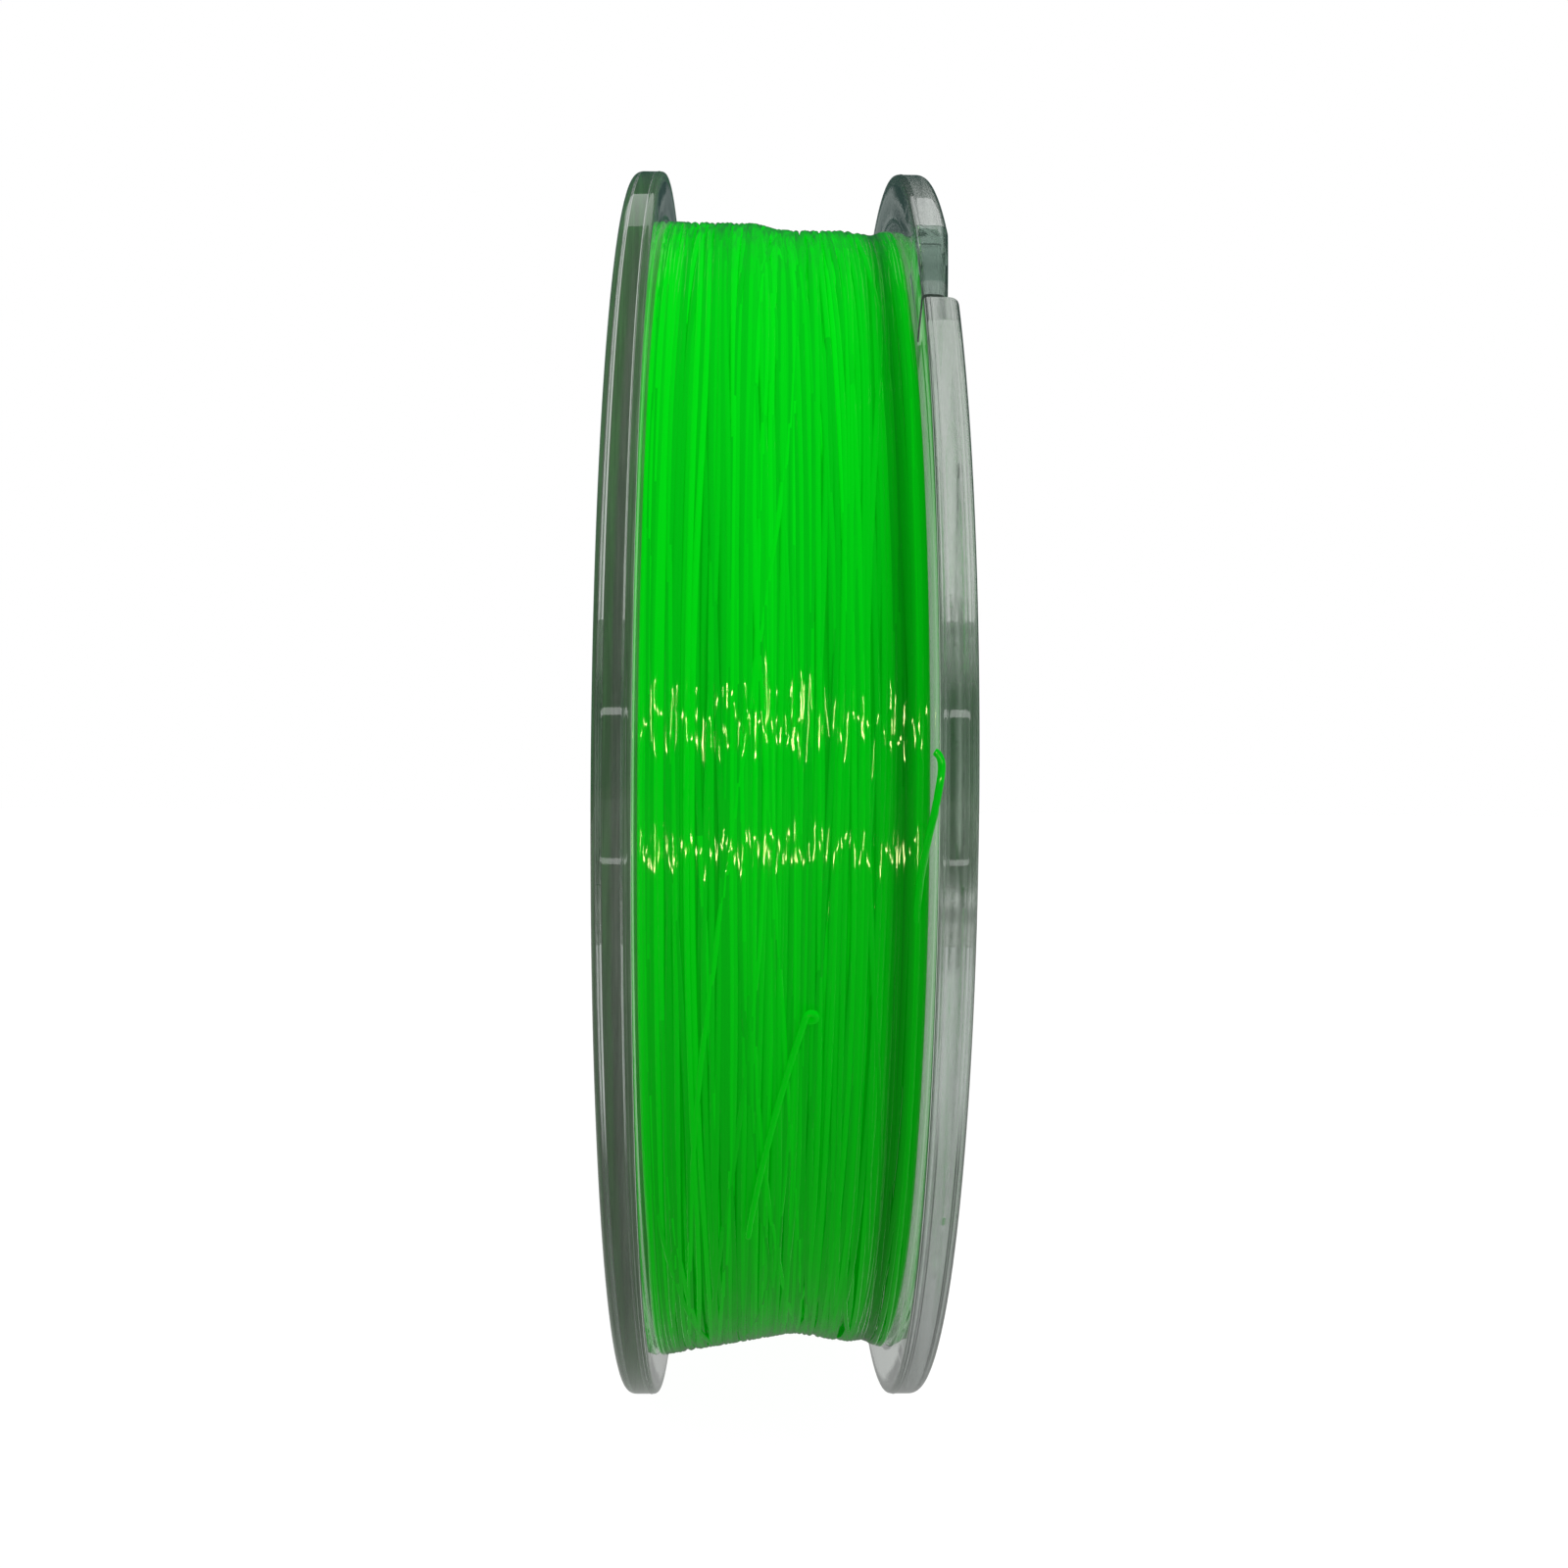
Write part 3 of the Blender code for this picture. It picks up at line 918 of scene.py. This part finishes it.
def tag_path():
    """The outer end: it leaves the pack in a small curl and runs down to its cut tip."""
    curl_steps, run_steps = 39, 80
    curl_x, curl_deg, curl_r = 1.75 * MM, -18.2, 0.34 * MM
    phase_start_deg, phase_deg = -150.0, 315.0
    buried, curl_lift, tip_lift = 0.14 * MM, 0.42 * MM, 0.40 * MM
    run_deg, lean, lean_back = 21.6, 4.9 * MM, 1.5 * MM
    points = []
    for step in range(curl_steps + 1):
        share = step / curl_steps
        phase = math.radians(phase_start_deg + phase_deg * share)
        x = curl_x + curl_r * math.cos(phase)
        angle = math.radians(curl_deg) + curl_r * math.sin(phase) / TOP_R
        lift = (buried + curl_lift) * min(1.0, 1.1 * share) - buried
        points.append(surface_point(x, angle, lift))
    left_x = curl_x - curl_r
    for step in range(1, run_steps + 1):
        share = step / run_steps
        x = left_x - lean * share + lean_back * share**2
        angle = math.radians(curl_deg - run_deg * share)
        lift = curl_lift * (1.0 - share) ** 6 + tip_lift * share**3
        points.append(surface_point(x, angle, lift))
    return points


def start_path():
    """The inner end: it comes up beside the right flange, and its tip hooks over the edge of the rim.

    Its stops are given as (degrees, x, radius), in millimetres.
    """
    samples, ease = 140, 4
    stops = [
        (-14.0, 8.10, 45.45),
        (-11.5, 8.05, 45.80),
        (-9.0, 8.02, 46.30),
        (-6.5, 8.10, 47.20),
        (-4.0, 8.32, 48.50),
        (-2.0, 8.58, 49.60),
        (0.0, 8.82, 50.05),
        (1.0, 8.93, 50.12),
        (1.6, 8.90, 50.12),
        (1.95, 8.75, 50.05),
        (2.1, 8.52, 50.00),
        (2.05, 8.40, 49.96),
    ]
    points = [on_spool(x * MM, radius * MM, degrees) for degrees, x, radius in stops]
    lengths = [0.0]
    for first, second in zip(points, points[1:]):
        lengths.append(lengths[-1] + (second - first).length)
    places = np.linspace(0.0, lengths[-1], samples)
    columns = [np.interp(places, lengths, [point[axis] for point in points]) for axis in range(3)]
    columns = [smooth_along(column, ease) for column in columns]
    return [Vector(point) for point in zip(*columns)]


def build_line_end(name, path, material, cut, node):
    """A free end of the line along path, with its last cap in the cut material."""
    points = np.array([tuple(point) for point in path])
    end = tube_object(name, points, END_SIDES, (material, cut), None, len(points))
    end.data.polygons[-1].material_index = 1
    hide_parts(node)
    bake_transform(end)
    return end


# ---------------------------------------------------------------- studio

def world_light():
    """A plain room: white to the camera, dim to reflections and brighter through clear plastic.

    Its ceiling is dark, and shows most through the first wall or two of plastic.
    """
    ceiling_starts, ceiling_full = 0.25, 0.34
    dark_through_many, darker_through_few, few_bounces = 0.3, 0.6, 4.5
    world = bpy.data.worlds.new("studio")
    bpy.context.scene.world = world
    n = Nodes(world)
    path = n.add("ShaderNodeLightPath").outputs

    def background(colour, strength):
        inputs = {"Color": (*colour, 1.0), "Strength": strength}
        return n.add("ShaderNodeBackground", inputs).outputs[0]

    height = n.part(n.add("ShaderNodeTexCoord").outputs["Generated"], "Z")
    limits = {"Value": height, "From Min": ceiling_starts, "From Max": ceiling_full}
    ceiling = n.add("ShaderNodeMapRange", limits).outputs[0]
    few_walls = n.math("LESS_THAN", path["Ray Depth"], few_bounces)
    darkness = n.math("MULTIPLY_ADD", few_walls, darker_through_few, dark_through_many)
    darkness = n.math("MULTIPLY", ceiling, darkness)
    through = n.mix(darkness, background((0.95, 1.0, 0.97), 0.52), background((0.0, 0.0, 0.0), 0.0))
    shader = background((1.0, 1.0, 1.0), 0.35)
    shader = n.mix(path["Is Glossy Ray"], shader, background((0.4, 1.0, 0.9), 0.06))
    shader = n.mix(path["Is Transmission Ray"], shader, through)
    shader = n.mix(path["Is Camera Ray"], shader, background((1.0, 1.0, 1.0), 1.0))
    n.add("ShaderNodeOutputWorld", {"Surface": shader})


def add_light(name, data, place, target):
    light = bpy.data.objects.new(name, data)
    light.location = place
    light.rotation_euler = (Vector(target) - Vector(place)).to_track_quat("-Z", "Y").to_euler()
    light.visible_camera = False
    light.visible_transmission = False
    bpy.context.scene.collection.objects.link(light)
    return light


def reflected_panel(name, place, target, size, power, colour, seen_in):
    """A lamp that only shows as a reflection in the pieces of one collection."""
    data = bpy.data.lights.new(name, "AREA")
    data.shape = "RECTANGLE"
    data.size, data.size_y = size
    data.energy = power
    data.color = colour
    light = add_light(name, data, place, target)
    light.visible_diffuse = False
    light.light_linking.receiver_collection = seen_in


def soft_sun(name, place, strength, width_deg):
    data = bpy.data.lights.new(name, "SUN")
    data.energy = strength
    data.angle = math.radians(width_deg)
    add_light(name, data, place, (0.0, 0.0, 0.0)).visible_glossy = False


def collected(name, pieces):
    collection = bpy.data.collections.new(name)
    for piece in pieces:
        collection.objects.link(piece)
    return collection


def build_lights(mouldings, lines):
    """A soft sun, two panels that only the plastic reflects, and two tubes that the line reflects.

    The rims reflect each tube too, but faintly.
    """
    rim_share = 0.025
    plastic = collected("clear_pieces", mouldings)
    line = collected("line_pieces", lines)
    soft_sun("key", (0.45, -0.49, 0.75), 1.6, 40.0)
    white, lamp = (1.0, 1.0, 1.0), (1.0, 0.97, 0.42)
    for name, place, target, size, power in (
        ("ceiling", (0.0, 0.36, 0.64), (0.0, 0.0, 0.05), (0.5, 0.2), 0.25),
        ("floor_glow", (0.0, 0.0, 0.02 * MM - RIM_R), (0.0, 0.0, 0.0), (2.0, 2.0), 3.0),
    ):
        reflected_panel(name, place, target, size, power, white, plastic)
    pack_front = (0.0, -0.046, 0.0)
    for name, place, size, power in (
        ("upper_tube", (0.0, -0.345, 0.065), (0.30, 0.007), 0.85),
        ("lower_tube", (0.0, -0.200, -0.040), (0.16, 0.003), 0.17),
    ):
        reflected_panel(name, place, pack_front, size, power, lamp, line)
        reflected_panel(name + "_rim", place, pack_front, size, power * rim_share, white, plastic)


def build_floor(material):
    bm = bmesh.new()
    bmesh.ops.create_grid(bm, x_segments=40, y_segments=40, size=3.0)
    floor = add_object("floor", bm, material)
    floor.location.z = -RIM_R


def build_camera():
    data = bpy.data.cameras.new("camera")
    data.sensor_width = CAMERA_SENSOR
    data.lens = CAMERA_LENS
    data.clip_start = 0.01
    data.clip_end = 10.0
    camera = bpy.data.objects.new("camera", data)
    camera.location = CAMERA_PLACE
    camera.rotation_euler = [math.radians(angle) for angle in CAMERA_TURN_DEG]
    bpy.context.scene.collection.objects.link(camera)
    bpy.context.scene.camera = camera


def build_scene():
    scene = bpy.context.scene
    scene.view_settings.view_transform = "Standard"
    scene.cycles.max_bounces = 20
    scene.cycles.glossy_bounces = 10
    scene.cycles.transmission_bounces = 16
    scene.cycles.transparent_max_bounces = 16
    clear = clear_plastic("clear_plastic_flange")
    shades = (0.84, 0.95, 1.03, 1.13)
    greens = [line_material(f"green_line_{i}", shade) for i, shade in enumerate(shades)]
    mouldings = [
        build_flange("flange_left", -1, clear, "left_flange"),
        build_flange("flange_right", 1, clear, "right_flange"),
        # The clip's darker body colour is painted shade; its tip keeps the clear plastic.
        build_clip(clear_plastic("clear_plastic_clip_painted_shade", (0.38, 0.51, 0.45), 0.015), clear),
        build_barrel(clear),
    ]
    build_label(label_face(), label_back())
    lines = build_wound_line(greens)
    lines.append(build_core(greens[0]))
    cut = cut_face()
    # Painted light: the tag is drawn in a lighter copy of the line's green.
    tag = line_material("green_line_tag", 1.13, 0.1, 0.0)
    lines.append(
        build_line_end("tag_strand", tag_path(), tag, cut, "line_tag_end")
    )
    # Painted shade: the start is drawn in a darker copy of the line's green.
    start = line_material("green_line_start", 0.92, 0.1, 0.0)
    lines.append(
        build_line_end("start_strand", start_path(), start, cut, "line_start_end")
    )
    build_floor(floor_material())
    world_light()
    build_lights(mouldings, lines)
    build_camera()


build_scene()
